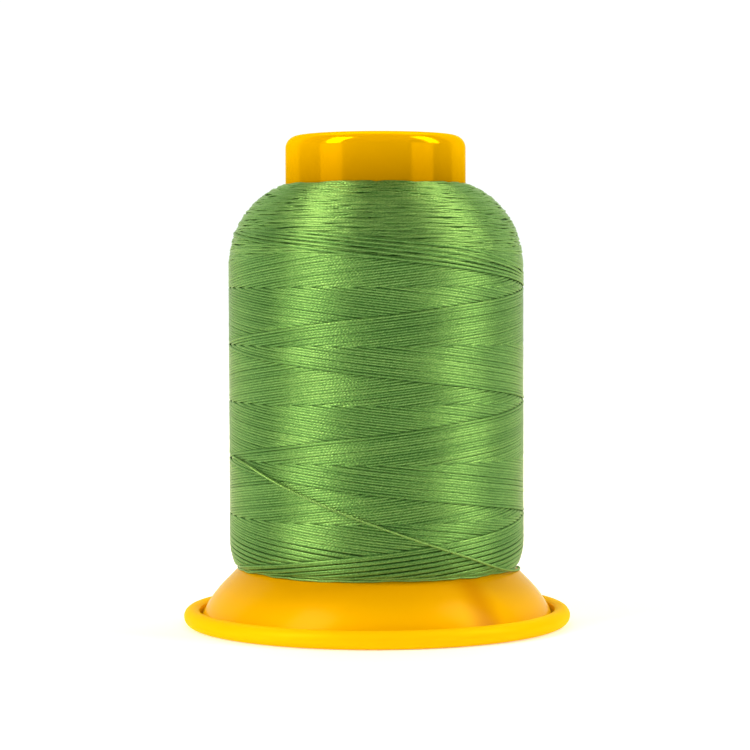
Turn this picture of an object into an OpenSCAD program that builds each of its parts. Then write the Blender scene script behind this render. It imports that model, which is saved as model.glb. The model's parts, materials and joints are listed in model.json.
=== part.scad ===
// Spool of sewing thread on a snap-base core.
// A moulded core (tube, rounded collar and flared foot) carries a cross-wound package of thread.
// A separate base disc snaps into the core from below and pulls down a little, which opens the
// narrow gap between its rim and the foot where the loose end of the thread is pinched.
// Millimetres, +Z up along the axis, origin at the centre of the base's underside.

/* [Overall] */
// Height of the whole spool with the base closed
spool_h = 64.5; // [56:0.5:78]
// Diameter over the round rim of the snap base
base_d = 51.2; // [50:0.2:62]

/* [Core tube] */
// Outside diameter of the tube and its collar
tube_d = 23.8; // [19:0.2:29]
// Wall of the tube
tube_wall = 1.4; // [1.2:0.1:1.7]
// Rounding of the collar's top outer edge
collar_round = 1.65; // [1:0.05:2.5]
// Width of the flat ring on top of the collar, inside the rounding
crown_w = 1.05; // [0.6:0.05:1.4]
// Depth of the top web below the crown
web_drop = 1.2; // [0.6:0.1:2]
// Thickness of the top web
web_t = 1.5; // [1:0.1:2]

/* [Spool pin hub] */
// Bore for the spool pin
pin_bore_d = 8.0; // [6.6:0.1:9.6]
// Wall of the hub round the bore
hub_wall = 1.3; // [1:0.1:1.6]
// Length of the hub below the web
hub_len = 9.8; // [7:0.2:14]
// Bevel at each mouth of the bore
bore_bevel = 0.4; // [0.2:0.1:0.6]
// Number of ribs between hub and tube
hub_ribs = 6; // [3:1:8]
// Length of those ribs below the web
hub_rib_len = 7.6; // [4:0.2:9]
// Thickness of all ribs
rib_t = 1.0; // [0.8:0.1:1.4]

/* [Foot] */
// Slope of the flared foot from the horizontal
foot_slope = 45; // [40:1:48]
// Slope at which the curved lower part of the foot reaches its edge
edge_slope = 65; // [55:1:75]
// Radius of that curved lower part
foot_round = 14.5; // [8:0.5:18]
// Wall of the foot
foot_wall = 1.3; // [1:0.1:1.6]
// Height of the foot's blunt edge
edge_h = 0.13; // [0.1:0.01:0.3]
// Number of ribs under the foot
foot_ribs = 8; // [4:1:12]

/* [Snap base] */
// Thickness of the round rim of the base
bead_d = 2.33; // [2:0.01:3]
// Width of the trimmed flank inside the rim
bead_trim = 0.29; // [0.2:0.01:0.4]
// Thickness of the disc
disc_t = 0.9; // [0.8:0.05:1.1]
// Wall of the sleeve's closed root, below the slots
root_wall = 1.5; // [1.5:0.1:2]
// Wall of the snap fingers above it
sleeve_wall = 1.2; // [1:0.1:1.4]
// Height of the sleeve above the underside
sleeve_h = 10; // [9:0.2:13]
// Width of the slots that free the snap fingers
slot_w = 2.2; // [1.6:0.1:3]
// Number of slots across the sleeve
slot_pairs = 2; // [2:1:3]
// Height of the sleeve's closed root
root_h = 3.0; // [2:0.1:4]
// Distance from the root to the bottom of the slots
slot_rise = 0.4; // [0.2:0.1:1]
// Bevel at the sleeve's mouth
mouth_bevel = 0.4; // [0.2:0.1:0.6]
// How far the snap barbs stand out of the sleeve
barb_out = 0.5; // [0.3:0.05:0.6]
// Height of the barbs' flat flank
barb_h = 0.7; // [0.5:0.05:1.2]
// Height of the barbs' lead-in slope
barb_lead = 0.7; // [0.5:0.05:1.2]
// Depth of the label's recess in the underside
recess_t = 0.2; // [0.15:0.01:0.25]
// Width of the plain ring outside the recess
rest_ring_w = 3.6; // [2.5:0.1:5]
// Width of the plain ring round the sleeve's mouth
mouth_ring_w = 1.6; // [1:0.1:2.5]

/* [Fits and travel] */
// How far the base pulls down to free the thread
base_travel = 2.5; // [1.5:0.1:3]
// Radial gap between the sleeve and the tube
sleeve_fit = 0.08; // [0.04:0.01:0.1]
// Gap between tube and disc where the closed base stops
stop_gap = 0.05; // [0.03:0.01:0.1]
// Room round the thread in the gap under the foot's edge
pinch_slack = 0.1; // [0.08:0.01:0.2]
// Room round the thread between the foot's edge and the rim
groove_slack = 0.1; // [0.08:0.01:0.2]
// Gap round each barb in its groove
barb_gap = 0.12; // [0.08:0.01:0.2]

/* [Thread] */
// Diameter of the wound package
wound_d = 39.0; // [32:0.2:41]
// How far the package's lower corner draws in before it meets the foot
heel_in = 1.0; // [0.4:0.1:2]
// Height of bare collar above the package
collar_h = 6.2; // [4:0.1:9]
// Radius of the package's shoulder
shoulder_round = 11; // [8:0.5:14]
// Radius of the package's lower corner
heel_round = 8; // [5:0.5:12]
// Diameter of the loose end of the thread
tail_d = 0.32; // [0.3:0.01:0.4]

/* [Label] */
// Thickness of the blank paper label under the base
label_t = 0.1; // [0.08:0.01:0.14]
// Margin between the label and the edge of its recess
label_gap = 0.3; // [0.2:0.05:0.6]

/* [Hidden] */
$fn = 96;

arc_steps = 8;
lay_gap = 0.02;
eps = 0.5;

tube_r = tube_d / 2;
bore_r = tube_r - tube_wall;
crown_z = spool_h - collar_round;
web_top = spool_h - web_drop;
web_bottom = web_top - web_t;
crown_in_r = tube_r - collar_round - crown_w;
pin_r = pin_bore_d / 2;
hub_r = pin_r + hub_wall;
hub_bottom = web_bottom - hub_len;

// Base: rim bead, and the flank that faces the foot's edge
base_r = base_d / 2;
bead_r = bead_d / 2;
bead_c = base_r - bead_r;
flank_r = base_r - bead_d + bead_trim;
flank_a = 180 - acos((bead_c - flank_r) / bead_r);
sleeve_r = bore_r - sleeve_fit;
mouth_r = sleeve_r - root_wall;
finger_r = sleeve_r - sleeve_wall;
barb_z = sleeve_h - barb_lead - barb_h;

// Foot: edge, curved lower part and straight cone above it
edge_r = flank_r - tail_d - groove_slack;
edge_z = disc_t + tail_d + pinch_slack;
edge_top = edge_z + edge_h;
foot_c = [edge_r - foot_round * sin(edge_slope), edge_top - foot_round * cos(edge_slope)];
knee = foot_c + foot_round * [sin(foot_slope), cos(foot_slope)];
tube_foot = disc_t + stop_gap;

// Package: lower corner and shoulder
wound_r = wound_d / 2;
wound_foot_r = wound_r - heel_in;
wound_foot_z = cone_z(wound_foot_r, lay_gap);
heel_c = [wound_r - heel_round,
          wound_foot_z + sqrt(pow(heel_round, 2) - pow(heel_round - heel_in, 2))];
wound_top = spool_h - collar_h;
lay_r = tube_r + lay_gap;
shoulder_c = [wound_r - shoulder_round,
              wound_top - sqrt(pow(shoulder_round, 2) - pow(lay_r - wound_r + shoulder_round, 2))];
shoulder_end = acos((lay_r - shoulder_c.x) / shoulder_round);
heel_start = -acos((wound_foot_r - heel_c.x) / heel_round);

// Height of the straight cone at radius r, on a surface a distance off outside it
function cone_z(r, off) = knee.y + (knee.x - r) * tan(foot_slope) + off / cos(foot_slope);

// Points on an arc about c, from angle a to angle b
function arc(c, r, a, b, n = arc_steps) =
    [for (i = [0:n]) c + r * [cos(a + (b - a) * i / n), sin(a + (b - a) * i / n)]];

// Loose end: [degrees round from the front towards +X, height], lying on package and foot
tail_route = [[-92, 23.0], [-80, 22.75], [-68, 22.4], [-58, 21.85], [-48, 20.8], [-36, 19.3],
              [-24, 17.75], [-12, 16.2], [0, 14.7], [12, 13.2], [24, 11.75], [36, 10.35],
              [48, 9.05], [58, 8.2], [68, 7.65], [78, 7.35], [88, 7.2], [98, 7.05],
              [107, 6.45], [114, 5.5], [120, 4.3], [124, 3.15], [127, 2.0]];
tail_ring = 3;
tail_gap = 0.03;
ride = tail_d / 2 + tail_gap;

// Radius at which a line a distance off the skin runs at height z
function on_side(z, off) = z > heel_c.y ? wound_r + off
    : heel_c.x + sqrt(max(0, pow(heel_round + off, 2) - pow(heel_c.y - z, 2)));
function on_foot(z, off) = z > knee.y
    ? knee.x + (knee.y - z) / tan(foot_slope) + off / sin(foot_slope)
    : foot_c.x + sqrt(pow(foot_round + off, 2) - pow(z - foot_c.y, 2));
function on_skin(z, off) = z < wound_foot_z - 1 ? on_foot(z, off)
    : max(on_side(z, off), on_foot(z, off));
function place(a, r, z) = [r * sin(a), -r * cos(a), z];

// A smooth curve through the route, one ring every few diameters
function curve(p, i, t) = let (a = p[max(i - 1, 0)], b = p[i], c = p[i + 1], d = p[min(i + 2, len(p) - 1)])
    0.5 * (2 * b + (c - a) * t + (2 * a - 5 * b + 4 * c - d) * t * t
           + (3 * b - a - 3 * c + d) * t * t * t);
tail_laid = [for (i = [0:len(tail_route) - 2]) for (k = [0:tail_ring - 1])
             let (q = curve(tail_route, i, k / tail_ring)) place(q.x, on_skin(q.y, ride), q.y)];
// The end dips round the foot's edge and is pinched under it
tail_end = [for (q = [[128.6, edge_r + ride, edge_top], [129.9, edge_r + ride, edge_z + 0.02],
                      [130.9, edge_r + 0.66 * ride, edge_z - 0.86 * ride],
                      [132.2, edge_r - 0.2, edge_z - 1.05 * ride],
                      [134.4, edge_r - 0.7, edge_z - 1.1 * ride],
                      [136.8, edge_r - 1.1, edge_z - 1.1 * ride]])
            place(q.x, q.y, q.z)];
tail_path = concat(tail_laid, tail_end);

// Core profile, from the tube's foot up the bore, over the collar and down the flared foot
core_outline = concat(
    [[bore_r, tube_foot], [bore_r, web_bottom], [0, web_bottom], [0, web_top],
     [crown_in_r, web_top], [crown_in_r, spool_h]],
    arc([tube_r - collar_round, crown_z], collar_round, 90, 0),
    [[tube_r, cone_z(tube_r, 0)]],
    arc(foot_c, foot_round, 90 - foot_slope, 90 - edge_slope),
    [[edge_r, edge_z]],
    arc(foot_c, foot_round - foot_wall, asin((edge_z - foot_c.y) / (foot_round - foot_wall)),
        90 - foot_slope),
    [[tube_r, cone_z(tube_r, -foot_wall)], [tube_r, tube_foot]]);

// Space between tube and foot that the foot's ribs fill, a little into both walls
foot_inside = concat(
    [[tube_r - tube_wall / 2, edge_z + 0.5]],
    [[foot_c.x + sqrt(pow(foot_round - foot_wall / 2, 2) - pow(edge_z + 0.5 - foot_c.y, 2)), edge_z + 0.5]],
    [knee - foot_wall / 2 * [sin(foot_slope), cos(foot_slope)]],
    [[tube_r - tube_wall / 2, cone_z(tube_r - tube_wall / 2, -foot_wall / 2)]]);

module spoke(n, l, h) {
    for (i = [0:n - 1]) rotate(i * 360 / n) translate([0, -rib_t / 2, 0]) cube([l, rib_t, h]);
}

module foot_rib_set() {
    intersection() {
        rotate_extrude() polygon(foot_inside);
        spoke(foot_ribs, base_r, spool_h);
    }
}

module hub_rib_set() {
    translate([0, 0, web_bottom - hub_rib_len])
        spoke(hub_ribs, bore_r + tube_wall / 2, hub_rib_len + web_t / 2);
}

// Groove in the tube's bore in which the barbs ride
module barb_groove() {
    low = barb_z - base_travel - barb_gap;
    translate([0, 0, low])
        cylinder(r = sleeve_r + barb_out + barb_gap, h = sleeve_h + barb_gap - low);
}

module pin_bore() {
    translate([0, 0, hub_bottom - eps]) cylinder(r = pin_r, h = web_top - hub_bottom + 2 * eps);
    translate([0, 0, web_top - bore_bevel])
        cylinder(r1 = pin_r, r2 = pin_r + bore_bevel + eps, h = bore_bevel + eps);
    translate([0, 0, hub_bottom - eps])
        cylinder(r1 = pin_r + bore_bevel + eps, r2 = pin_r, h = bore_bevel + eps);
}

module spool_core() {
    color("goldenrod") difference() {
        union() {
            rotate_extrude() polygon(core_outline);
            foot_rib_set();
            hub_rib_set();
            translate([0, 0, hub_bottom]) cylinder(r = hub_r, h = hub_len + web_t / 2);
        }
        barb_groove();
        pin_bore();
    }
}

// Base profile: disc with a label recess, round rim, and sleeve with a barbed top
base_outline = concat(
    [[mouth_r, mouth_bevel], [mouth_r + mouth_bevel, 0], [sleeve_r + mouth_ring_w, 0], [sleeve_r + mouth_ring_w, recess_t],
     [base_r - rest_ring_w, recess_t], [base_r - rest_ring_w, 0]],
    arc([bead_c, bead_r], bead_r, -90, flank_a, 2 * arc_steps),
    [[flank_r, disc_t], [sleeve_r, disc_t], [sleeve_r, barb_z], [sleeve_r + barb_out, barb_z],
     [sleeve_r + barb_out, barb_z + barb_h], [sleeve_r, sleeve_h], [finger_r, sleeve_h],
     [finger_r, root_h], [mouth_r, root_h]]);

module snap_base() {
    color("gold") difference() {
        rotate_extrude() polygon(base_outline);
        for (i = [0:slot_pairs - 1]) rotate(45 + i * 180 / slot_pairs)
            translate([-tube_r, -slot_w / 2, root_h + slot_rise]) cube([2 * tube_r, slot_w, sleeve_h]);
    }
}

module base_label() {
    color("white") translate([0, 0, recess_t - label_t]) difference() {
        cylinder(r = base_r - rest_ring_w - label_gap, h = label_t);
        translate([0, 0, -eps]) cylinder(r = sleeve_r + mouth_ring_w + label_gap, h = label_t + 2 * eps);
    }
}

module thread_winding() {
    color("mediumseagreen") rotate_extrude() polygon(concat(
        [[lay_r, cone_z(lay_r, lay_gap)]],
        arc(heel_c, heel_round, heel_start, 0),
        arc(shoulder_c, shoulder_round, 0, shoulder_end, 2 * arc_steps)));
}

// A round strand along a path, closed at both ends
module strand(path, d, sides) {
    n = len(path);
    function along(i) = let (v = path[min(i + 1, n - 1)] - path[max(i - 1, 0)]) v / norm(v);
    rings = [for (i = [0:n - 1])
        let (t = along(i), u = cross([0, 0, 1], t) / norm(cross([0, 0, 1], t)), w = cross(t, u))
        for (k = [0:sides - 1])
            path[i] + d / 2 * (cos(k * 360 / sides) * u + sin(k * 360 / sides) * w)];
    walls = [for (i = [0:n - 2]) for (k = [0:sides - 1]) let (m = (k + 1) % sides)
        [i * sides + k, (i + 1) * sides + k, (i + 1) * sides + m, i * sides + m]];
    ends = [[for (k = [0:sides - 1]) k], [for (k = [sides - 1:-1:0]) (n - 1) * sides + k]];
    polyhedron(rings, concat(walls, ends));
}

module thread_tail() {
    color("yellowgreen") strand(tail_path, tail_d, 8);
}

spool_core();
snap_base();
base_label();
thread_winding();
thread_tail();
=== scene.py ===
# %% [markdown]
# # A spool of sewing thread on a snap base
# The spool is two mouldings in golden yellow plastic, a core and a base disc, that carry a
# cross-wound package of shiny green thread. The design model gives every size and place, so this
# lesson starts by loading it as a fixed frame. Each piece is then modelled again with the smooth
# curves and the fine detail that the plain solids leave out, exactly where its solid stands.

# %% Load the frame
import json
import math

import bpy
import numpy as np
from mathutils import Matrix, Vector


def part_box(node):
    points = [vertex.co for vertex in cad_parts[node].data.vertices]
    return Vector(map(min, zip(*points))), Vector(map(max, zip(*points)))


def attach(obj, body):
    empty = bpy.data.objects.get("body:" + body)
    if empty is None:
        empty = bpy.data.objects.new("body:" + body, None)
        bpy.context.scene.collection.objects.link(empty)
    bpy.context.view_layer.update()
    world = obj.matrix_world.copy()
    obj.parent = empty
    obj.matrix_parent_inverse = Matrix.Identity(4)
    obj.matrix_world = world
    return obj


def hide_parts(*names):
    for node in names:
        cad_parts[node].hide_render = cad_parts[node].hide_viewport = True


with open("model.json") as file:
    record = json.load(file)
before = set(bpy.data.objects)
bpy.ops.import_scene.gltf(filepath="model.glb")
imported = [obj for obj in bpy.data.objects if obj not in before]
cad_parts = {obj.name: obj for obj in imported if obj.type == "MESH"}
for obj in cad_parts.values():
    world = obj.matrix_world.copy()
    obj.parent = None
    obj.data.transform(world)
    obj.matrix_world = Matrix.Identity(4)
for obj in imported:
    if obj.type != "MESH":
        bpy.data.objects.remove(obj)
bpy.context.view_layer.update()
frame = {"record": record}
MM = 0.001

# %% [markdown]
# ## The camera
# A small product is usually taken from well back with a long lens, because that keeps upright
# sides upright. The eye is a little below the collar here, so the top face is not seen and
# the rim of the base opens into a thin ellipse. The camera comes first, so that every later step
# can be looked at.

# %% Set up the camera
EYE_BACK, EYE_UP = 316.8 * MM, 44.3 * MM
LENS, SENSOR = 114.8, 36.0
LOOK_DOWN, LOOK_LEFT, LEAN = math.radians(2.06), math.radians(0.03), math.radians(-0.2)
camera_data = bpy.data.cameras.new("camera")
camera_data.lens, camera_data.sensor_width = LENS, SENSOR
camera_data.clip_start, camera_data.clip_end = 0.01, 50
camera = bpy.data.objects.new("camera", camera_data)
bpy.context.scene.collection.objects.link(camera)
camera.matrix_world = (Matrix.Translation((0, -EYE_BACK, EYE_UP))
                       @ Matrix.Rotation(LOOK_LEFT, 4, "Z")
                       @ Matrix.Rotation(math.pi / 2 - LOOK_DOWN, 4, "X")
                       @ Matrix.Rotation(LEAN, 4, "Z"))
bpy.context.scene.camera = camera
print(f"eye {EYE_BACK / MM:.0f} mm back and {EYE_UP / MM:.0f} mm up, lens {LENS} mm")

# %% [markdown]
# ## Small helpers for materials
# Colours are written as the hex codes that a colour picker shows, and one function turns them to
# the linear values that the renderer works in. One more function adds a shader node with its
# settings and its links, so that a material reads as a list of what feeds what.

# %% Colour and node helpers
def linear(code):
    """An sRGB hex code as linear red, green, blue and alpha."""
    parts = [int(code[i:i + 2], 16) / 255 for i in (1, 3, 5)]
    return [c / 12.92 if c <= 0.04045 else ((c + 0.055) / 1.055) ** 2.4 for c in parts] + [1.0]


def add(tree, kind, inputs=None, **settings):
    """A new node. Each input is a value, or the socket that it is linked from."""
    made = tree.nodes.new(kind)
    for name, value in settings.items():
        setattr(made, name, value)
    for key, value in (inputs or {}).items():
        if isinstance(value, bpy.types.NodeSocket):
            tree.links.new(value, made.inputs[key])
        else:
            made.inputs[key].default_value = value
    return made


def new_material(name):
    """An empty material's node tree, with its output node."""
    made = bpy.data.materials.new(name)
    made.use_nodes = True
    made.node_tree.nodes.clear()
    return made, made.node_tree, made.node_tree.nodes.new("ShaderNodeOutputMaterial")


# %% [markdown]
# ## Floor and light
# Small goods are often shown on a light table: a sheet of opal acrylic, lit from below at the back,
# that runs out of sight into a white wall, so that nothing around the piece has an edge. The room
# on the camera's side is dark, which keeps the plastic's colour deep where it faces the camera.
# Two tall soft boxes stand high at the left and right. On the shiny thread they give two upright
# bands of light. A dimmer, lower panel under each one gives the collar its two soft windows.

# %% Lay the floor
FLOOR = 40.0
bpy.ops.mesh.primitive_plane_add(size=FLOOR, location=(0, 0, -0.02 * MM))
floor = bpy.context.object
floor.name = "light_table"
GLOW_START, GLOW_FULL, GLOW = -0.5, 0.6, 0.75
opal, tree, out = new_material("opal_acrylic_sheet")
place = add(tree, "ShaderNodeTexCoord").outputs["Object"]
split = add(tree, "ShaderNodeSeparateXYZ", {"Vector": place})
glow = add(tree, "ShaderNodeMapRange", {
    "Value": split.outputs["Y"], "From Min": GLOW_START, "From Max": GLOW_FULL,
    "To Min": 0.0, "To Max": GLOW},
    interpolation_type="SMOOTHSTEP")
surface = add(tree, "ShaderNodeBsdfPrincipled", {
    "Base Color": linear("#F4F4F4"), "Roughness": 0.9, "Specular IOR Level": 0.0,
    "Emission Color": (1, 1, 1, 1), "Emission Strength": glow.outputs["Result"]})
tree.links.new(surface.outputs["BSDF"], out.inputs["Surface"])
floor.data.materials.append(opal)

# %% Light the world
world = bpy.data.worlds.new("studio")
bpy.context.scene.world = world
world.use_nodes = True
tree = world.node_tree
tree.nodes.clear()
way = add(tree, "ShaderNodeTexCoord")
split = add(tree, "ShaderNodeSeparateXYZ", {"Vector": way.outputs["Generated"]})
DARK_ROOM, WHITE_WALL = 0.09, 1.08
depth = add(tree, "ShaderNodeMapRange", {
    "Value": split.outputs["Y"], "From Min": 0.36, "From Max": 0.46,
    "To Min": DARK_ROOM, "To Max": WHITE_WALL},
    interpolation_type="SMOOTHSTEP")
sky = add(tree, "ShaderNodeBackground", {
    "Color": linear("#FAFFFD"), "Strength": depth.outputs["Result"]})
out = add(tree, "ShaderNodeOutputWorld", {"Surface": sky.outputs["Background"]})


LAMP_COLOUR = linear("#FFECC8")[:3]
LAMP_AIM = 32 * MM


def soft_box(name, azimuth, elevation, distance, width, height, power):
    """A panel light that faces the spool's middle, in degrees, m and W. Azimuth 0 is in front."""
    a, e = math.radians(azimuth), math.radians(elevation)
    light = bpy.data.lights.new(name, "AREA")
    light.shape = "RECTANGLE"
    light.size, light.size_y, light.energy = width, height, power
    light.color = LAMP_COLOUR
    lamp = bpy.data.objects.new(name, light)
    bpy.context.scene.collection.objects.link(lamp)
    lamp.matrix_world = (Matrix.Translation((0, 0, LAMP_AIM)) @ Matrix.Rotation(a, 4, "Z")
                         @ Matrix.Rotation(math.pi / 2 - e, 4, "X")
                         @ Matrix.Translation((0, 0, distance)))
    return lamp


soft_box("soft_box_left", -56, 36, 0.62, 0.22, 0.50, 3.7)
soft_box("soft_box_right", 80, 36, 0.62, 0.20, 0.50, 2.9)
soft_box("skirt_left", -58, 6, 0.62, 0.34, 0.17, 0.22)
soft_box("skirt_right", 62, 6, 0.62, 0.34, 0.17, 0.22)
soft_box("overhead_sheet", 180, 68, 0.9, 0.8, 0.5, 2.6)
bpy.context.scene.view_settings.view_transform = "Standard"

# %% [markdown]
# ## Golden yellow moulded plastic
# Spool cores are injection moulded in polystyrene with the pigment right through. The mould was
# turned on a lathe: it is polished at the collar and left satin at the foot, and very fine rings
# remain all round. Handling leaves cloudy patches of scuffs. Just above and just below the package
# the colour is deepened as painted shade, and a soft darker streak down the foot is a painted
# dark reflection. Core and base come from one recipe, with the base's batch a little paler.

# %% Mix the plastic
PACKAGE_MIDDLE = 33.5 * MM
FOOT_TOP, COLLAR_LOW = 8 * MM, 40 * MM


def moulded_plastic(name, colour, shade, package_shade_colour, dark_streak_azimuth, gloss, seed):
    """Pigmented plastic, with painted shade beside the package and a painted dark reflection as a
    streak down the foot at the given azimuth, in degrees. gloss is the foot's skin.
    """
    made, tree, out = new_material(name)
    place = add(tree, "ShaderNodeTexCoord").outputs["Object"]
    moved = add(tree, "ShaderNodeMapping", {"Vector": place, "Location": (seed, seed, seed)})
    # colour drifts over about 20 mm, as pigment does where the plastic flowed
    drift = add(tree, "ShaderNodeTexNoise", {
        "Vector": moved.outputs["Vector"], "Scale": 50.0, "Detail": 2.0})
    tone = add(tree, "ShaderNodeMix", {
        "Factor": drift.outputs["Fac"], "A": linear(colour), "B": linear(shade)}, data_type="RGBA")
    split = add(tree, "ShaderNodeSeparateXYZ", {"Vector": place})
    # painted shade: the colour deepens just above and just below the package, in the winding's shade
    middle = add(tree, "ShaderNodeMath", {
        0: split.outputs["Z"], 1: PACKAGE_MIDDLE}, operation="SUBTRACT")
    reach = add(tree, "ShaderNodeMath", {0: middle.outputs["Value"]}, operation="ABSOLUTE")
    package_shade = add(tree, "ShaderNodeMapRange", {
        "Value": reach.outputs["Value"], "From Min": 24.5 * MM, "From Max": 32 * MM,
        "To Min": 1.0, "To Max": 0.0}, interpolation_type="SMOOTHSTEP")
    tone = add(tree, "ShaderNodeMix", {
        "Factor": package_shade.outputs["Result"], "A": tone.outputs[2], "B": linear(package_shade_colour)},
        data_type="RGBA")
    # painted dark reflection: a soft darker streak runs down the lowest parts at one azimuth
    front = add(tree, "ShaderNodeMath", {0: split.outputs["Y"], 1: -1.0}, operation="MULTIPLY")
    azimuth = add(tree, "ShaderNodeMath", {
        0: split.outputs["X"], 1: front.outputs["Value"]}, operation="ARCTAN2")
    apart = add(tree, "ShaderNodeMath", {
        0: azimuth.outputs["Value"], 1: math.radians(dark_streak_azimuth)}, operation="SUBTRACT")
    apart = add(tree, "ShaderNodeMath", {0: apart.outputs["Value"]}, operation="ABSOLUTE")
    line = add(tree, "ShaderNodeMapRange", {
        "Value": apart.outputs["Value"], "From Min": 0.0, "From Max": 0.16,
        "To Min": 0.95, "To Max": 0.0}, interpolation_type="SMOOTHSTEP")
    low = add(tree, "ShaderNodeMapRange", {
        "Value": split.outputs["Z"], "From Min": 9 * MM, "From Max": 14 * MM,
        "To Min": 1.0, "To Max": 0.0})
    painted_streak = add(tree, "ShaderNodeMath", {
        0: line.outputs["Result"], 1: low.outputs["Result"]}, operation="MULTIPLY")
    tone = add(tree, "ShaderNodeMix", {
        "Factor": painted_streak.outputs["Value"], "A": tone.outputs[2], "B": linear("#C88C00")},
        data_type="RGBA")
    # the foot keeps the thin, smooth skin of the melt, which turns pale where it is seen edge-on
    skin = add(tree, "ShaderNodeMath", {0: low.outputs["Result"], 1: gloss}, operation="MULTIPLY")
    # the foot's mould is satin and the collar's is polished
    satin = add(tree, "ShaderNodeMapRange", {
        "Value": split.outputs["Z"], "From Min": FOOT_TOP, "From Max": COLLAR_LOW,
        "To Min": 0.46, "To Max": 0.09})
    polish = add(tree, "ShaderNodeMapRange", {
        "Value": split.outputs["Z"], "From Min": FOOT_TOP, "From Max": COLLAR_LOW,
        "To Min": 0.12, "To Max": 0.24})
    # handling leaves cloudy patches of scuffs, 2 to 3 mm across
    scuff = add(tree, "ShaderNodeTexNoise", {
        "Vector": moved.outputs["Vector"], "Scale": 350.0, "Detail": 5.0, "Roughness": 0.55})
    worn = add(tree, "ShaderNodeMapRange", {
        "Value": scuff.outputs["Fac"], "From Min": 0.4, "From Max": 0.7,
        "To Min": 0.0, "To Max": 0.07})
    rough = add(tree, "ShaderNodeMath", {
        0: satin.outputs["Result"], 1: worn.outputs["Result"]}, operation="ADD")
    # the mould was turned: rings about 0.3 mm apart, a micron deep, run round every surface
    ring_place = add(tree, "ShaderNodeCombineXYZ", {"Z": split.outputs["Z"]})
    rings = add(tree, "ShaderNodeTexNoise", {
        "Vector": ring_place.outputs["Vector"], "Scale": 2600.0, "Detail": 2.0})
    ring_relief = add(tree, "ShaderNodeBump", {
        "Height": rings.outputs["Fac"], "Strength": 0.6, "Distance": 0.01 * MM})
    # shrinkage waves are about 5 mm long and a few microns deep
    wave = add(tree, "ShaderNodeTexNoise", {
        "Vector": moved.outputs["Vector"], "Scale": 200.0, "Detail": 1.0})
    relief = add(tree, "ShaderNodeBump", {
        "Height": wave.outputs["Fac"], "Strength": 0.3, "Distance": 0.06 * MM,
        "Normal": ring_relief.outputs["Normal"]})
    surface = add(tree, "ShaderNodeBsdfPrincipled", {
        "Base Color": tone.outputs[2], "Roughness": rough.outputs["Value"],
        "Normal": relief.outputs["Normal"], "IOR": 1.5,
        "Coat Weight": skin.outputs["Value"], "Coat Roughness": 0.2, "Coat IOR": 1.1,
        "Specular IOR Level": 0.0, "Sheen Weight": 0.35, "Sheen Roughness": 0.35,
        "Sheen Tint": linear("#FFE818"),
        "Metallic": polish.outputs["Result"], "Specular Tint": linear("#FFE070")})
    tree.links.new(surface.outputs["BSDF"], out.inputs["Surface"])
    return made


# in each call the third colour is painted shade beside the package, and the angle after it places
# the painted dark reflection streak
CORE_PLASTIC = moulded_plastic("polystyrene_core", "#F2BB00", "#ECB300", "#CA9600", 38, 0.9, 0.013)
BASE_PLASTIC = moulded_plastic("polystyrene_base", "#FBC908", "#F6C106", "#F0B604", 170, 0.15, 0.047)
print("plastics", CORE_PLASTIC.name, BASE_PLASTIC.name)

# %% [markdown]
# ## Turning a profile
# Core and base are round, so each starts as half of its cross-section. The outline is drawn by
# extruding one vertex from corner to corner, and spun round the axis. A mould is never dead sharp,
# so every corner of an outline has its own small radius, which catches a line of light.

# %% Outline and spin helpers
WELD_GAP = 0.002 * MM


def arc(centre, radius, start, end, steps=12):
    """Points on an arc, in degrees."""
    angles = [math.radians(start + (end - start) * i / steps) for i in range(steps + 1)]
    return [(centre[0] + radius * math.cos(a), centre[1] + radius * math.sin(a)) for a in angles]


def rounded(corners, steps=5):
    """The points of an outline. A corner (radius, height, rounding) gets an arc cut in."""
    points = []
    for i, corner in enumerate(corners):
        here = np.array(corner[:2])
        if len(corner) == 2:
            points.append(corner)
            continue
        cut = corner[2]
        back, on = (np.array(corners[(i + d) % len(corners)][:2]) - here for d in (-1, 1))
        long_back, long_on = np.linalg.norm(back), np.linalg.norm(on)
        back, on = back / long_back, on / long_on
        half = math.acos(max(-1, min(1, float(back @ on)))) / 2
        reach = min(cut / math.tan(half), 0.45 * long_back, 0.45 * long_on)
        radius = reach * math.tan(half)
        centre = here + (back + on) / np.linalg.norm(back + on) * radius / math.sin(half)
        first, last = here + back * reach - centre, here + on * reach - centre
        start = math.degrees(math.atan2(first[1], first[0]))
        end = math.degrees(math.atan2(last[1], last[0]))
        turn = (end - start + 180) % 360 - 180
        points += arc(centre, radius, start, start + turn, steps)
    return points


def deselect_all():
    """Nothing selected, and object mode."""
    if bpy.context.object and bpy.context.object.mode != "OBJECT":
        bpy.ops.object.mode_set(mode="OBJECT")
    bpy.ops.object.select_all(action="DESELECT")


def drawn(outline):
    """A closed loop of edges through (radius, height) points in mm, left in edit mode."""
    deselect_all()
    start = (outline[0][0] * MM, 0, outline[0][1] * MM)
    bpy.ops.mesh.primitive_plane_add(size=0.1 * MM, location=start)
    piece = bpy.context.object
    bpy.ops.object.transform_apply(location=True)
    bpy.ops.object.mode_set(mode="EDIT")
    bpy.ops.mesh.select_all(action="SELECT")
    bpy.ops.mesh.merge(type="CENTER")
    ring = list(outline) + [outline[0]]
    for here, there in zip(ring, ring[1:]):
        step = ((there[0] - here[0]) * MM, 0, (there[1] - here[1]) * MM)
        bpy.ops.mesh.extrude_vertices_move(TRANSFORM_OT_translate={"value": step})
    bpy.ops.mesh.select_all(action="SELECT")
    bpy.ops.mesh.remove_doubles(threshold=WELD_GAP)
    return piece


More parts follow.
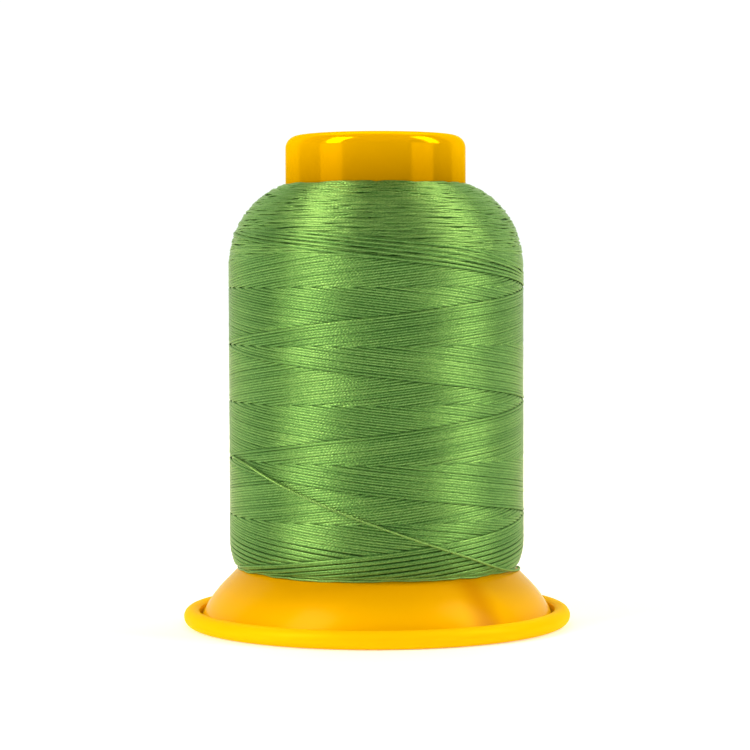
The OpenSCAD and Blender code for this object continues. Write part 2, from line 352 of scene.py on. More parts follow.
def turned(name, outline, steps=192):
    """A closed solid of revolution, spun from an outline of (radius, height) points in mm."""
    piece = drawn(outline)
    piece.name = piece.data.name = name
    bpy.ops.mesh.spin(steps=steps, angle=2 * math.pi, center=(0, 0, 0), axis=(0, 0, 1))
    bpy.ops.mesh.select_all(action="SELECT")
    bpy.ops.mesh.remove_doubles(threshold=WELD_GAP)
    bpy.ops.mesh.normals_make_consistent(inside=False)
    bpy.ops.object.mode_set(mode="OBJECT")
    return piece


def finish_piece(piece, body, material, crease=35):
    """Shades a piece up to a crease angle, gives it its material, and fastens it to its body."""
    deselect_all()
    piece.select_set(True)
    bpy.context.view_layer.objects.active = piece
    bpy.ops.object.shade_smooth_by_angle(angle=math.radians(crease))
    piece.data.materials.clear()
    piece.data.materials.append(material)
    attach(piece, body)
    print(piece.name, len(piece.data.polygons), "faces")
    return piece


# %% [markdown]
# ## The core
# The core is one moulding. Its outline runs up the bore, across the thin web that holds the spool
# pin, over the rounded crown, down the outside of the tube and out along the flared foot. The foot
# is a straight cone that curves down to a blunt edge, and that edge pinches the thread. Corners
# inside the mould have small roundings, and the crown's outer one is large.

# %% Work out the core's sizes
low, high = (np.array(c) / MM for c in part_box("spool_core"))
mounts = {m["name"]: m for m in frame["record"]["mounts"]}
TOP, FOOT_LOW, EDGE_R = high[2], low[2], high[0]
PIN_R = mounts["spool_pin_bore"]["dims"]["r_mm"]
TUBE_R, BORE_R = 11.9, 10.5
CROWN_ROUND, CROWN_W, WEB_DROP, WEB_T = 1.65, 1.05, 1.2, 1.5
HUB_R, HUB_LEN, BORE_BEVEL = PIN_R + 1.3, 9.8, 0.4
EDGE_TOP, EDGE_H, FOOT_ROUND, FOOT_SLOPE, EDGE_SLOPE, FOOT_WALL = 1.45, 0.13, 14.5, 45, 65, 1.3
WEB_TOP = TOP - WEB_DROP
WEB_LOW = WEB_TOP - WEB_T
HUB_LOW = WEB_LOW - HUB_LEN
FOOT_C = (EDGE_R - FOOT_ROUND * math.sin(math.radians(EDGE_SLOPE)),
          EDGE_TOP - FOOT_ROUND * math.cos(math.radians(EDGE_SLOPE)))
KNEE = (FOOT_C[0] + FOOT_ROUND * math.sin(math.radians(FOOT_SLOPE)),
        FOOT_C[1] + FOOT_ROUND * math.cos(math.radians(FOOT_SLOPE)))


def cone_height(r, off=0.0):
    """Height of the straight part of the foot at radius r, or of a surface off above it."""
    slope = math.radians(FOOT_SLOPE)
    return KNEE[1] + (KNEE[0] - r) * math.tan(slope) + off / math.cos(slope)


print(f"core {TOP:.1f} mm high, foot edge {EDGE_R:.2f} mm out, bore {PIN_R:.1f} mm")

# %% Draw and spin the core
INSIDE_ROUND = FOOT_ROUND - FOOT_WALL
EDGE_LOW = EDGE_TOP - EDGE_H
inside_end = math.degrees(math.asin((EDGE_LOW - FOOT_C[1]) / INSIDE_ROUND))
crown_in = TUBE_R - CROWN_ROUND - CROWN_W
groove_low, groove_top, groove_r = 5.98, 10.12, 11.04
core_outline = rounded([
    (BORE_R, FOOT_LOW, 0.12), (BORE_R, groove_low, 0.05), (groove_r, groove_low, 0.05),
    (groove_r, groove_top, 0.1), (BORE_R, groove_top, 0.05), (BORE_R, WEB_LOW, 0.4),
    (HUB_R, WEB_LOW, 0.4), (HUB_R, HUB_LOW, 0.2), (PIN_R + BORE_BEVEL, HUB_LOW, 0.05),
    (PIN_R, HUB_LOW + BORE_BEVEL, 0.1), (PIN_R, WEB_TOP - BORE_BEVEL, 0.1),
    (PIN_R + BORE_BEVEL, WEB_TOP, 0.08), (crown_in, WEB_TOP, 0.3), (crown_in, TOP, 0.35),
    *arc((TUBE_R - CROWN_ROUND, TOP - CROWN_ROUND), CROWN_ROUND, 90, 0, 14),
    (TUBE_R, cone_height(TUBE_R), 0.1),
    *arc(FOOT_C, FOOT_ROUND, 90 - FOOT_SLOPE, 90 - EDGE_SLOPE, 14),
    (EDGE_R, EDGE_LOW, 0.05),
    *arc(FOOT_C, INSIDE_ROUND, inside_end, 90 - FOOT_SLOPE, 10),
    (TUBE_R, cone_height(TUBE_R, -FOOT_WALL), 0.3), (TUBE_R, FOOT_LOW, 0.12)])
core = turned("core_moulding", core_outline)
finish_piece(core, "spool", CORE_PLASTIC, 30)
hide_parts("spool_core")

# %% [markdown]
# ### Ribs of the core
# Thin ribs stiffen the moulding where nobody sees them: six between the hub and the tube under the
# web, and eight between the tube and the underside of the foot. Each set is one block cut to shape
# and copied round the axis. Their edges run a little into the walls, as a moulding's do.

# %% Model the ribs
RIB_T = 1.0


def rib_ring(name, corners, count):
    """Upright ribs from an outline of (radius, height) points, copied round the axis."""
    ribs = []
    for i in range(count):
        rib = drawn(corners)
        bpy.ops.mesh.edge_face_add()
        bpy.ops.transform.translate(value=(0, -RIB_T / 2 * MM, 0))
        bpy.ops.mesh.extrude_region_move(TRANSFORM_OT_translate={"value": (0, RIB_T * MM, 0)})
        bpy.ops.mesh.select_all(action="SELECT")
        bpy.ops.mesh.normals_make_consistent(inside=False)
        bpy.ops.object.mode_set(mode="OBJECT")
        rib.rotation_euler = (0, 0, 2 * math.pi * i / count)
        bpy.ops.object.transform_apply(location=True, rotation=True, scale=True)
        ribs.append(rib)
    deselect_all()
    for rib in ribs:
        rib.select_set(True)
    bpy.context.view_layer.objects.active = ribs[0]
    bpy.ops.object.join()
    ribs[0].name = ribs[0].data.name = name
    return ribs[0]


BITE, HUB_RIB_H, FOOT_RIB_GAP = 0.3, 7.6, 0.5
rib_low = EDGE_LOW + FOOT_RIB_GAP
hub_ribs = rib_ring("hub_ribs", [
    (HUB_R - BITE, WEB_LOW - HUB_RIB_H), (BORE_R + BITE, WEB_LOW - HUB_RIB_H),
    (BORE_R + BITE, WEB_LOW + BITE), (HUB_R - BITE, WEB_LOW + BITE)], 6)
finish_piece(hub_ribs, "spool", CORE_PLASTIC)
foot_ribs = rib_ring("foot_ribs", [
    (TUBE_R - BITE, rib_low),
    (FOOT_C[0] + math.sqrt((FOOT_ROUND - FOOT_WALL / 2) ** 2 - (rib_low - FOOT_C[1]) ** 2),
     rib_low),
    (KNEE[0] - 0.46, KNEE[1] - 0.46),
    (TUBE_R - BITE, cone_height(TUBE_R - BITE, -FOOT_WALL / 2))], 8)
finish_piece(foot_ribs, "spool", CORE_PLASTIC)

# %% [markdown]
# ## The snap base
# The base is a thin disc with a round bead for a rim. Its sleeve slides in the core's bore, and
# slots split the top of the sleeve into four fingers, whose barbs catch in the core's groove. The
# disc, bead and sleeve are spun in one outline, and the slots are cut out afterwards with two
# crossed blocks, as the mould's own blades would leave them.

# %% Draw, spin and slot the base
BASE_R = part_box("snap_base")[1][0] / MM
SLEEVE_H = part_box("snap_base")[1][2] / MM
BEAD_D, DISC_T, RECESS = 2.33, 0.9, 0.2
BEAD_R = BEAD_D / 2
BEAD_C = BASE_R - BEAD_R
FLANK_R = BASE_R - BEAD_D + 0.29
SLEEVE_R, ROOT_H, FINGER_R = 10.42, 3.0, 9.22
MOUTH_R = mounts["base_mouth_bore"]["dims"]["r_mm"]
BARB_R, BARB_LOW, BARB_TOP = SLEEVE_R + 0.5, SLEEVE_H - 1.4, SLEEVE_H - 0.7
REST_IN, RING_OUT = BASE_R - 3.6, SLEEVE_R + 1.6
flank_end = 180 - math.degrees(math.acos((BEAD_C - FLANK_R) / BEAD_R))
base_outline = rounded([
    (FINGER_R, SLEEVE_H, 0.15), (FINGER_R, ROOT_H, 0.1), (MOUTH_R, ROOT_H, 0.1),
    (MOUTH_R, 0.4, 0.1), (MOUTH_R + 0.4, 0, 0.1), (RING_OUT, 0, 0.08), (RING_OUT, RECESS, 0.02),
    (REST_IN, RECESS, 0.02), (REST_IN, 0, 0.08),
    *arc((BEAD_C, BEAD_R), BEAD_R, -90, flank_end, 40),
    (FLANK_R, DISC_T, 0.1), (SLEEVE_R, DISC_T, 0.15), (SLEEVE_R, BARB_LOW, 0.05),
    (BARB_R, BARB_LOW, 0.08), (BARB_R, BARB_TOP, 0.1), (SLEEVE_R, SLEEVE_H, 0.1)])
base = turned("base_moulding", base_outline)
SLOT_W, SLOT_LOW = 2.2, ROOT_H + 0.4
BLADE_L, BLADE_H = 24, 10
for turn in (45, 135):
    deselect_all()
    bpy.ops.mesh.primitive_cube_add(size=1, location=(0, 0, (SLOT_LOW + BLADE_H / 2) * MM),
                                    rotation=(0, 0, math.radians(turn)))
    blade = bpy.context.object
    blade.scale = (BLADE_L * MM, SLOT_W * MM, BLADE_H * MM)
    bpy.ops.object.transform_apply(location=True, rotation=True, scale=True)
    deselect_all()
    base.select_set(True)
    bpy.context.view_layer.objects.active = base
    cut = base.modifiers.new("slots", "BOOLEAN")
    cut.operation, cut.solver, cut.object = "DIFFERENCE", "EXACT", blade
    bpy.ops.object.modifier_apply(modifier="slots")
    bpy.data.objects.remove(blade)
finish_piece(base, "base", BASE_PLASTIC, 30)
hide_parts("snap_base")

# %% [markdown]
# ## The label
# A blank ring of uncoated paper is glued into the shallow recess under the base, where the maker
# prints the colour's number. Paper is matt, slightly warm and faintly mottled by its fibres.

# %% Make the label
paper, tree, out = new_material("uncoated_paper")
place = add(tree, "ShaderNodeTexCoord").outputs["Object"]
fibres = add(tree, "ShaderNodeTexNoise", {
    "Vector": place, "Scale": 2500.0, "Detail": 6.0, "Roughness": 0.7, "Distortion": 0.4})
cloud = add(tree, "ShaderNodeTexNoise", {"Vector": place, "Scale": 350.0, "Detail": 3.0})
mottle = add(tree, "ShaderNodeMath", {0: fibres.outputs["Fac"], 1: cloud.outputs["Fac"]},
             operation="MULTIPLY")
shade = add(tree, "ShaderNodeMapRange", {
    "Value": mottle.outputs["Value"], "From Min": 0.12, "From Max": 0.4})
tone = add(tree, "ShaderNodeMix", {
    "Factor": shade.outputs["Result"], "A": linear("#E4E0D5"), "B": linear("#F4F1E9")},
    data_type="RGBA")
relief = add(tree, "ShaderNodeBump", {
    "Height": fibres.outputs["Fac"], "Strength": 0.4, "Distance": 0.02 * MM})
surface = add(tree, "ShaderNodeBsdfPrincipled", {
    "Base Color": tone.outputs[2], "Roughness": 0.85, "Normal": relief.outputs["Normal"],
    "Specular IOR Level": 0.25})
tree.links.new(surface.outputs["BSDF"], out.inputs["Surface"])
label_low, label_high = (np.array(c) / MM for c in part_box("base_label"))
label_in = RING_OUT + 0.3
label_outline = rounded([
    (label_in, label_low[2], 0.02), (label_high[0], label_low[2], 0.02),
    (label_high[0], label_high[2], 0.02), (label_in, label_high[2], 0.02)], 2)
label = turned("paper_label", label_outline, 128)
finish_piece(label, "base", paper)
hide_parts("base_label")

# %% [markdown]
# ## Shiny polyester thread
# Embroidery thread is three plies of fine filaments, lightly twisted and dyed. The filaments are
# smooth and lobed, so the thread has a silky shine that runs across each strand in a fine line and
# adds up to broad upright bands on the package. The material follows each strand's own length: the
# plies cross it as slanting lines, about 1.4 mm to a full twist, and each strand differs a little.

# %% Dye the thread
TWIST, PLIES = 1.4, 3


def dyed_thread(name, dark, middle, light):
    """Filament thread. The UV map runs along the strand in millimetres and once round it."""
    made, tree, out = new_material(name)
    along = add(tree, "ShaderNodeUVMap", uv_map="strand").outputs["UV"]
    tone = add(tree, "ShaderNodeAttribute", attribute_name="tone").outputs["Fac"]
    split = add(tree, "ShaderNodeSeparateXYZ", {"Vector": along})
    # the plies pass one by one as the strand turns
    turn = add(tree, "ShaderNodeMath", {0: split.outputs["X"], 1: 1 / TWIST}, operation="MULTIPLY")
    lay = add(tree, "ShaderNodeMath", {0: turn.outputs["Value"], 1: split.outputs["Y"]},
              operation="ADD")
    ply = add(tree, "ShaderNodeMath", {0: lay.outputs["Value"], 1: 2 * math.pi * PLIES},
              operation="MULTIPLY")
    ply = add(tree, "ShaderNodeMath", {0: ply.outputs["Value"]}, operation="COSINE")
    ply = add(tree, "ShaderNodeMapRange", {
        "Value": ply.outputs["Value"], "From Min": -1.0, "From Max": 1.0})
    # filaments are 0.02 mm; drawn four times as coarse, this noise is their relief in the bump and a
    # painted sparkle in the colour
    strand_place = add(tree, "ShaderNodeCombineXYZ", {
        "X": split.outputs["X"], "Y": lay.outputs["Value"], "Z": tone})
    stretch = add(tree, "ShaderNodeMapping", {
        "Vector": strand_place.outputs["Vector"], "Scale": (4.0, 9.0, 40.0)})
    glitter = add(tree, "ShaderNodeTexNoise", {
        "Vector": stretch.outputs["Vector"], "Scale": 1.0, "Detail": 3.0, "Roughness": 0.65})
    mixed = add(tree, "ShaderNodeMath", {
        0: tone, 1: 0.2, 2: -0.75}, operation="MULTIPLY_ADD")
    # painted sparkle: the glitter noise drives most of the colour's light and dark
    mixed = add(tree, "ShaderNodeMath", {
        0: glitter.outputs["Fac"], 1: 2.4, 2: mixed.outputs["Value"]}, operation="MULTIPLY_ADD")
    # painted shade: the ply wave darkens the colour along the grooves between plies; in the bump it
    # is their relief
    mixed = add(tree, "ShaderNodeMath", {
        0: ply.outputs["Result"], 1: 0.16, 2: mixed.outputs["Value"]}, operation="MULTIPLY_ADD")
    ramp = add(tree, "ShaderNodeValToRGB", {"Fac": mixed.outputs["Value"]})
    stops = ramp.color_ramp.elements
    stops[0].position, stops[0].color = 0.25, linear(dark)
    stops[1].position, stops[1].color = 1.0, linear(light)
    stops.new(0.62).color = linear(middle)
    height = add(tree, "ShaderNodeMath", {
        0: ply.outputs["Result"], 1: 0.8, 2: glitter.outputs["Fac"]}, operation="MULTIPLY_ADD")
    relief = add(tree, "ShaderNodeBump", {
        "Height": height.outputs["Value"], "Strength": 0.4, "Distance": 0.05 * MM})
    # filaments lie along the strand, so its shine spreads across it and stays narrow along it
    grain = add(tree, "ShaderNodeTangent", direction_type="UV_MAP", uv_map="strand")
    surface = add(tree, "ShaderNodeBsdfPrincipled", {
        "Base Color": ramp.outputs["Color"], "Roughness": 0.36, "Metallic": 0.7,
        "IOR": 2.0, "Specular IOR Level": 0.9, "Specular Tint": linear("#E0E4B8"),
        "Anisotropic": 0.7, "Anisotropic Rotation": 0.25, "Tangent": grain.outputs["Tangent"],
        "Normal": relief.outputs["Normal"]})
    tree.links.new(surface.outputs["BSDF"], out.inputs["Surface"])
    return made


THREAD = dyed_thread("dyed_polyester_thread", "#316C2C", "#528E44", "#7CAE60")
print("thread", THREAD.name)

# %% [markdown]
# ## The shape of the package
# The package is a straight cylinder with a rounded shoulder and a tighter heel. A strand lies on
# that skin wherever it goes, so the skin is written as a function of one number: the height on the
# cylinder, which carries on as arc length over the shoulder and round the heel.

# %% The package's skin
wound_low, wound_high = (np.array(c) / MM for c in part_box("thread_winding"))
WOUND_R, WOUND_TOP, WOUND_FOOT = wound_high[0], wound_high[2], wound_low[2]
SHOULDER, HEEL = 11.0, 8.0
SHOULDER_END = math.acos((TUBE_R - WOUND_R + SHOULDER) / SHOULDER)
SHOULDER_Z = WOUND_TOP - SHOULDER * math.sin(SHOULDER_END)
HEEL_END = math.acos((HEEL - 1.0) / HEEL)
HEEL_Z = WOUND_FOOT + HEEL * math.sin(HEEL_END)
SKIN_LOW = HEEL_Z - HEEL * HEEL_END
SKIN_TOP = SHOULDER_Z + SHOULDER * SHOULDER_END


def skin(s):
    """Radius, height and outward direction (radial, upright) of the skin at place s, in mm."""
    up = np.clip((s - SHOULDER_Z) / SHOULDER, 0, None)
    down = np.clip((HEEL_Z - s) / HEEL, 0, None)
    r = (WOUND_R - SHOULDER * (1 - np.cos(up)) - HEEL * (1 - np.cos(down)))
    z = np.clip(s, HEEL_Z, SHOULDER_Z) + SHOULDER * np.sin(up) - HEEL * np.sin(down)
    return r, z, np.cos(up) * np.cos(down), np.sin(up) - np.sin(down)


print(f"package {2 * WOUND_R:.1f} mm across, skin from {SKIN_LOW:.1f} to {SKIN_TOP:.1f} mm")

# %% [markdown]
# ## Laying strands
# A strand is a flattened tube that follows a path on the skin. Thousands of millimetres of it go
# into one mesh, so the tubes are built as arrays. Each keeps a UV map that runs along it, and one
# random number, its tone, so that no two neighbours look quite alike. On the turning points the
# tone is raised as painted light, and on the loose end as a painted highlight.

# %% Strand mesh helper
GAUGE_W, GAUGE_T = 0.40, 0.26


def strand_mesh(name, runs, sides=8):
    """One mesh of many closed tubes. A run is (path, outward, width, thickness, tone), in mm."""
    points, quads, caps, uvs, cap_uvs, tones = [], [], [], [], [], []
    count = 0
    turn = np.arange(sides) * 2 * math.pi / sides
    for path, outward, width, thick, tone in runs:
        n = len(path)
        ahead = np.gradient(path, axis=0)
        length = np.linalg.norm(ahead, axis=1)
        ahead /= length[:, None]
        outward = outward - (outward * ahead).sum(1)[:, None] * ahead
        outward /= np.linalg.norm(outward, axis=1)[:, None]
        side = np.cross(ahead, outward)
        ring = (path[:, None] + outward[:, None] * (np.cos(turn) * thick / 2)[None, :, None]
                + side[:, None] * (np.sin(turn) * width / 2)[None, :, None])
        points.append(ring.reshape(-1, 3))
        i, k = np.meshgrid(np.arange(n - 1), np.arange(sides), indexing="ij")
        m = (k + 1) % sides
        quads.append((np.stack([i * sides + k, i * sides + m, (i + 1) * sides + m,
                                (i + 1) * sides + k], -1).reshape(-1, 4)) + count)
        caps += [list(range(count, count + sides)),
                 list(range(count + (n - 1) * sides, count + n * sides))[::-1]]
        run = np.concatenate([[0], np.cumsum(np.linalg.norm(np.diff(path, axis=0), axis=1))])
        run = run + tone * 97.0
        uvs.append(np.stack([np.stack([run[i], k / sides], -1),
                             np.stack([run[i], (k + 1) / sides], -1),
                             np.stack([run[i + 1], (k + 1) / sides], -1),
                             np.stack([run[i + 1], k / sides], -1)], 2).reshape(-1, 2))
        cap_uvs += [[run[0], 0.0]] * sides + [[run[-1], 0.0]] * sides
        tones.append(np.full(n * sides, tone, np.float32))
        count += n * sides
    points, quads = np.concatenate(points) * MM, np.concatenate(quads)
    mesh = bpy.data.meshes.new(name)
    loops = np.concatenate([quads.reshape(-1), np.array(caps).reshape(-1)])
    starts = np.concatenate([np.arange(len(quads)) * 4,
                             len(quads) * 4 + np.arange(len(caps)) * sides])
    mesh.vertices.add(len(points))
    mesh.vertices.foreach_set("co", points.reshape(-1))
    mesh.loops.add(len(loops))
    mesh.loops.foreach_set("vertex_index", loops.astype(np.int32))
    mesh.polygons.add(len(starts))
    mesh.polygons.foreach_set("loop_start", starts.astype(np.int32))
    mesh.polygons.foreach_set("use_smooth", np.ones(len(starts), bool))
    mesh.update(calc_edges=True)
    layer = mesh.uv_layers.new(name="strand")
    layer.data.foreach_set("uv", np.concatenate([np.concatenate(uvs).reshape(-1),
                                                 np.array(cap_uvs).reshape(-1)]))
    mesh.attributes.new("tone", "FLOAT", "POINT").data.foreach_set("value", np.concatenate(tones))
    mesh.validate()
    piece = bpy.data.objects.new(name, mesh)
    bpy.context.scene.collection.objects.link(piece)
    mesh.materials.append(THREAD)
    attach(piece, "spool")
    print(name, len(runs), "runs,", len(quads) * 2, "triangles")
    return piece


def on_skin(turns, s, sink):
    """Points and outward directions at a number of turns round, a depth below the skin, in mm."""
    r, z, out_r, out_z = skin(s)
    angle = 2 * math.pi * (turns + 0.5)
    path = np.stack([(r - sink * out_r) * np.cos(angle), (r - sink * out_r) * np.sin(angle),
                     z - sink * out_z], -1)
    outward = np.stack([out_r * np.cos(angle), out_r * np.sin(angle), out_z], -1)
    return path, outward


def smooth(x):
    """A soft step from 0 to 1."""
    x = np.clip(x, 0, 1)
    return x * x * (3 - 2 * x)


def wander(rng, turns, size):
    """A slow random drift along a strand, in mm."""
    waves = sum(rng.normal() * np.sin(turns * 2 * math.pi * f + rng.uniform(0, 6.3))
                for f in (0.7, 1.9, 4.3))
    return size * waves / 1.7


# %% [markdown]
# ## The cross-wound face
# A winder lays one thread up and down the turning package, about one and a third turns at a time,
# and each wrap lands one gauge beside an earlier one. Rising wraps and falling wraps each cover the
# whole face, and at any place the newer of the two is on top. That gives the long diamonds of a
# cross-wound package: a sharp edge where the newest wrap rides over the oldest, and a soft, stepped
# border where equally old wraps weave past each other. Only the stretches that lie on top are
# laid, with both ends tucked under their neighbours.

# %% Wind the face
WRAP_RISE, WRAPS = 14.84, 44
CROSSING = 37.1
GAUGE = WRAP_RISE / WRAPS
STEP = 0.9
TUCK = 1.6 / WRAPS
DROP = 0.62 * GAUGE
FACE_LOW, FACE_TOP = SKIN_LOW + 0.3, SHOULDER_Z + 2.2
PAIRED = 0.07
LOOSE_WRAPS, LOOSE_LIFT = 5, 0.07
RUN_ON, RISE_AT, SPREAD_AT, FAN_AT = 42, 43.5, 45.5, 48


def face_runs(way, seed):
    """The visible runs of the rising (way 1) or falling (way -1) wraps. A few newest falling
    wraps lie loose: they spread apart below the shoulder, a little proud of it."""
    rng = np.random.default_rng(seed)
    runs = []
    for wrap in range(WRAPS):
        age = (wrap + 0.5) / WRAPS
        lean, sunk = rng.normal() * 0.018, abs(rng.normal()) * 0.012
        proud = 0.05 if wrap == 0 else 0.0
        loose = way < 0 and wrap < LOOSE_WRAPS
        first = int(math.floor(2 * (FACE_LOW - CROSSING) / WRAP_RISE)) - 2
        last = int(math.ceil(2 * (FACE_TOP - CROSSING) / WRAP_RISE)) + 2
        for k in range(first, last):
            other = np.array([age - TUCK, 1 + TUCK])
            turns = (other + k + age) / 2
            if way > 0 and CROSSING + WRAP_RISE * (turns[1] - age) > RUN_ON:
                turns[1] += 3 / WRAPS
            n = max(4, int((turns[1] - turns[0]) * 2 * math.pi * WOUND_R / STEP))
            turns = np.linspace(turns[0], turns[1], n)
            s = CROSSING + way * WRAP_RISE * (turns - age)
            top_end = FACE_TOP + (3.6 - 0.2 * wrap if loose else 0)
            inside = (s > FACE_LOW) & (s < top_end)
            if inside.sum() < 4:
                continue
            turns, s = turns[inside], s[inside]
            other = 2 * turns - age - k
            top = smooth((other - age + 0.9 / WRAPS) / (1.8 / WRAPS))
            top = top * smooth((1 + 0.25 / WRAPS - other) / (1.3 / WRAPS))
            dive = smooth((s - (top_end - 2.4)) / 2.4) + smooth((FACE_LOW + 0.7 - s) / 0.7)
            high = smooth((s - RISE_AT) / 4)
            pair = PAIRED * (1 if wrap % 2 else -1) * smooth((13.5 - s) / 3)
            sink = GAUGE_T / 2 + sunk - proud + DROP * (1 - top) + 0.3 * dive
            if loose:
                sink = sink - LOOSE_LIFT * high * (1 - smooth((s - (top_end - 2.4)) / 2.4))
                fan = 0.26 - 0.06 * (np.maximum(s, FAN_AT) - FAN_AT - 1)
                s = s + wrap * fan * smooth((s - SPREAD_AT) / 3.5)
            s = s + lean + pair + wander(rng, turns, 0.014)
            path, outward = on_skin(turns, s, sink)
            runs.append((path, outward, GAUGE_W, GAUGE_T, float(rng.uniform())))
    return runs


rising = strand_mesh("thread_rising", face_runs(1, 3))
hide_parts("thread_winding")
strand_mesh("thread_falling", face_runs(-1, 4))

# %% [markdown]
# ## Shoulder and heel
# At each end of its stroke the thread turns back. On the shoulder the strokes get shorter layer by
# layer, so what shows there is one turning point beside another: short arcs that lie almost level,
# come up from under their neighbours and slip under again. The heel is made the same way, upside
# down, in a narrow band above the foot.

# %% Lay the turning points
def turning_runs(low, high, way, seed, cover, reach):
    """Shallow arcs that peak (way 1) or dip (way -1) at places between low and high."""
    rng = np.random.default_rng(seed)
    runs = []
    rows = int((high - low) / GAUGE * cover)
    for row in range(rows):
        s0 = low + (high - low) * (row + rng.uniform(0.2, 0.8)) / rows
        turn = rng.uniform()
        end = turn + 1.0
        while turn < end:
            span = rng.uniform(0.05, 0.2)
            t = np.linspace(-1, 1, max(6, int(span * 2 * math.pi * skin(s0)[0] / STEP)))
            turns = turn + span * (t + 1) / 2
            height = rng.uniform(*reach)
            s = s0 - way * height * t * t + wander(rng, turns * 7, 0.05)
            sink = GAUGE_T / 2 + 0.28 * np.abs(t) ** 1.5 + abs(rng.normal()) * 0.04
            sink = sink + np.abs(wander(rng, turns * 9, 0.06))
            s = np.clip(s, SKIN_LOW + 0.1, SKIN_TOP - 0.1)
            path, outward = on_skin(turns, s, sink)
            # painted light: the tone starts at 0.9, so the turning points are coloured lighter than
            # the face
            runs.append((path, outward, 0.82 * GAUGE_W, GAUGE_T, 0.9 + float(rng.uniform())))
            turn += span * rng.uniform(0.5, 0.7)
    return runs


strand_mesh("thread_shoulder", turning_runs(
    FACE_TOP - 2.2, SKIN_TOP - 0.15, 1, 11, 1.3, (0.1, 0.45)))
strand_mesh("thread_heel", turning_runs(
    SKIN_LOW + 0.1, SKIN_LOW + 0.7, -1, 12, 1.4, (0.1, 0.3)))

# %% [markdown]
# ## What lies beneath
# Under the visible strands lie some forty more layers. They show only in the narrow gaps between
# two strands, so a turned body stands in for them, a strand's thickness below the skin. It is
# coloured darker than the thread, as painted shade in those gaps, and its finish has fine level
# streaks, one gauge apart, in place of modelled strands.

# %% Turn the inner layers
packed_shaded, tree, out = new_material("packed_polyester_thread")
place = add(tree, "ShaderNodeTexCoord").outputs["Object"]
flat = add(tree, "ShaderNodeMapping", {"Vector": place, "Scale": (120.0, 120.0, 2900.0)})
streaks = add(tree, "ShaderNodeTexNoise", {
    "Vector": flat.outputs["Vector"], "Scale": 1.0, "Detail": 3.0})
# painted shade: both colours are darker than the thread's, for the shade between strands
ramp = add(tree, "ShaderNodeValToRGB", {"Fac": streaks.outputs["Fac"]})
ramp.color_ramp.elements[0].position = 0.35
ramp.color_ramp.elements[0].color = linear("#24521F")
ramp.color_ramp.elements[1].position = 0.65
ramp.color_ramp.elements[1].color = linear("#4B8239")
relief = add(tree, "ShaderNodeBump", {
    "Height": streaks.outputs["Fac"], "Strength": 0.6, "Distance": 0.1 * MM})
surface = add(tree, "ShaderNodeBsdfPrincipled", {
    "Base Color": ramp.outputs["Color"], "Roughness": 0.55, "Specular IOR Level": 0.3,
    "Normal": relief.outputs["Normal"]})
tree.links.new(surface.outputs["BSDF"], out.inputs["Surface"])
BENEATH = GAUGE_T + 0.12
heights = np.concatenate([np.linspace(SKIN_LOW, HEEL_Z, 8), np.linspace(SHOULDER_Z, SKIN_TOP, 20)])
r, z, out_r, out_z = skin(heights)
beneath_outline = [(TUBE_R + 0.03, cone_height(TUBE_R, 0.03) + 0.05)]
beneath_outline += list(zip(r - BENEATH * out_r, z - BENEATH * out_z))
beneath_outline[1] = (beneath_outline[1][0], cone_height(beneath_outline[1][0], 0.04))
beneath_outline[-1] = (TUBE_R + 0.03, beneath_outline[-1][1])
beneath = turned("thread_beneath", beneath_outline, 128)
finish_piece(beneath, "spool", packed_shaded)

# %% [markdown]
# ## The loose end
# The last wrap leaves the package at the left, is pulled tight across the front on a steep slant,
# runs round the heel where package meets foot, and is pinched under the foot's edge at the back. It
# is held all the way. It follows the design model's own route, and its three plies are modelled.

# %% Lay the loose end
TAIL_ROUTE = [(-92, 23.0), (-80, 22.75), (-68, 22.4), (-58, 21.85), (-48, 20.8), (-36, 19.3),
              (-24, 17.75), (-12, 16.2), (0, 14.7), (12, 13.2), (24, 11.75), (36, 10.35),
              (48, 9.05), (58, 8.2), (68, 7.65), (78, 7.35), (88, 7.2), (98, 7.05),
              (107, 6.45), (114, 5.5), (120, 4.3), (124, 3.15), (127, 2.0)]
TAIL_D, TAIL_GAP = 0.32, 0.03
RIDE = TAIL_D / 2 + TAIL_GAP


def on_side(z, off):
    """Radius of a line that runs a distance off the package at height z."""
    bend = HEEL_Z - z
    if bend <= 0:
        return WOUND_R + off
    return WOUND_R - HEEL + math.sqrt(max(0, (HEEL + off) ** 2 - bend ** 2))


def on_foot(z, off):
    """Radius of a line that runs a distance off the foot at height z."""
    slope = math.radians(FOOT_SLOPE)
    if z > KNEE[1]:
        return KNEE[0] + (KNEE[1] - z) / math.tan(slope) + off / math.sin(slope)
    return FOOT_C[0] + math.sqrt((FOOT_ROUND + off) ** 2 - (z - FOOT_C[1]) ** 2)


def spline(points, per):
    """A smooth curve through the points, per steps to each gap."""
    p, made = np.array(points, float), []
    for i in range(len(p) - 1):
        a, b, c, d = p[max(i - 1, 0)], p[i], p[i + 1], p[min(i + 2, len(p) - 1)]
        for t in np.arange(per) / per:
            made.append(0.5 * (2 * b + (c - a) * t + (2 * a - 5 * b + 4 * c - d) * t ** 2
                               + (3 * b - a - 3 * c + d) * t ** 3))
    return made + [p[-1]]


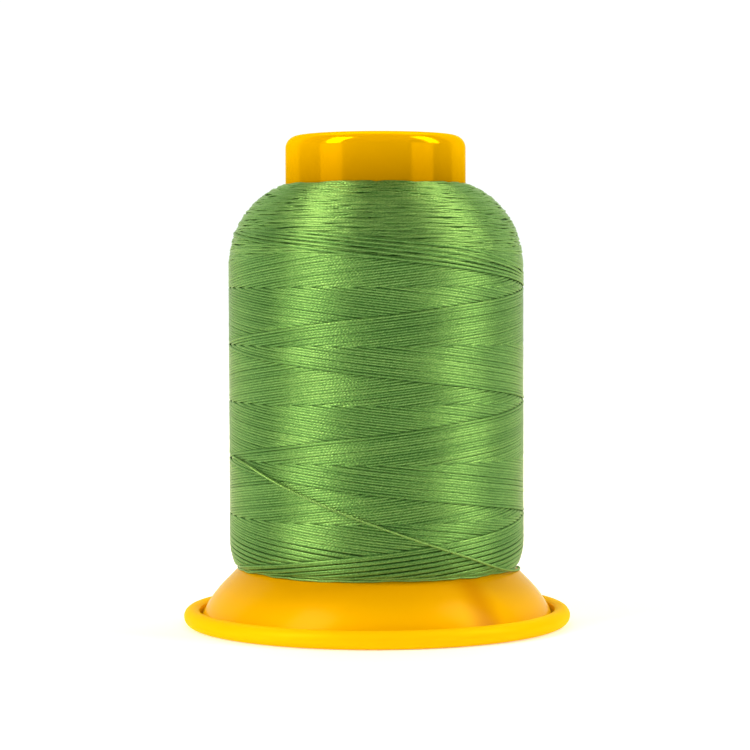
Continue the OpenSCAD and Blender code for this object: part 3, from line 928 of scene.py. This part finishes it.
tail_path = []
for azimuth, z in spline(TAIL_ROUTE, 16):
    # it starts as one strand among the others and comes up between -88 and -62 degrees
    ride = RIDE - 0.5 * (1 - float(smooth((azimuth + 88) / 26)))
    r = on_foot(z, ride) if z < WOUND_FOOT - 1 else max(on_side(z, ride), on_foot(z, ride))
    tail_path.append((math.radians(azimuth), r, z))
tail_end = [(128.6, EDGE_R + RIDE, EDGE_TOP), (129.9, EDGE_R + RIDE, EDGE_LOW + 0.02),
            (130.9, EDGE_R + 0.66 * RIDE, EDGE_LOW - 0.86 * RIDE),
            (132.2, EDGE_R - 0.2, EDGE_LOW - 1.05 * RIDE),
            (134.4, EDGE_R - 0.7, EDGE_LOW - 1.1 * RIDE),
            (136.8, EDGE_R - 1.1, EDGE_LOW - 1.1 * RIDE)]
tail_path = tail_path[:-1] + [(math.radians(a), r, z) for a, r, z in spline([
    (127, on_foot(2.0, RIDE), 2.0)] + tail_end, 8)]
tail_line = np.array([(r * math.sin(a), -r * math.cos(a), z) for a, r, z in tail_path])
along = np.concatenate([[0], np.cumsum(np.linalg.norm(np.diff(tail_line, axis=0), axis=1))])
even = np.arange(0, along[-1], 0.14)
tail_line = np.stack([np.interp(even, along, tail_line[:, k]) for k in range(3)], -1)
outward = np.stack([tail_line[:, 0], tail_line[:, 1], np.zeros(len(tail_line))], -1)
outward /= np.linalg.norm(outward, axis=1)[:, None]
ahead = np.gradient(tail_line, axis=0)
ahead /= np.linalg.norm(ahead, axis=1)[:, None]
side = np.cross(ahead, outward)
PLY_D = 0.54 * TAIL_D
tail_runs = []
for ply in range(PLIES):
    spin = 2 * math.pi * (even / TWIST + ply / PLIES)
    offset = (TAIL_D - PLY_D) / 2
    line = tail_line + offset * (np.cos(spin)[:, None] * outward + np.sin(spin)[:, None] * side)
    # painted highlight: a tone of 2.6 colours the loose end much lighter than the package's strands
    tail_runs.append((line, outward, PLY_D, PLY_D, 2.6 + 0.05 * ply))
tail = strand_mesh("thread_end", tail_runs)
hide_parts("thread_tail")
print(f"loose end {along[-1]:.1f} mm long")
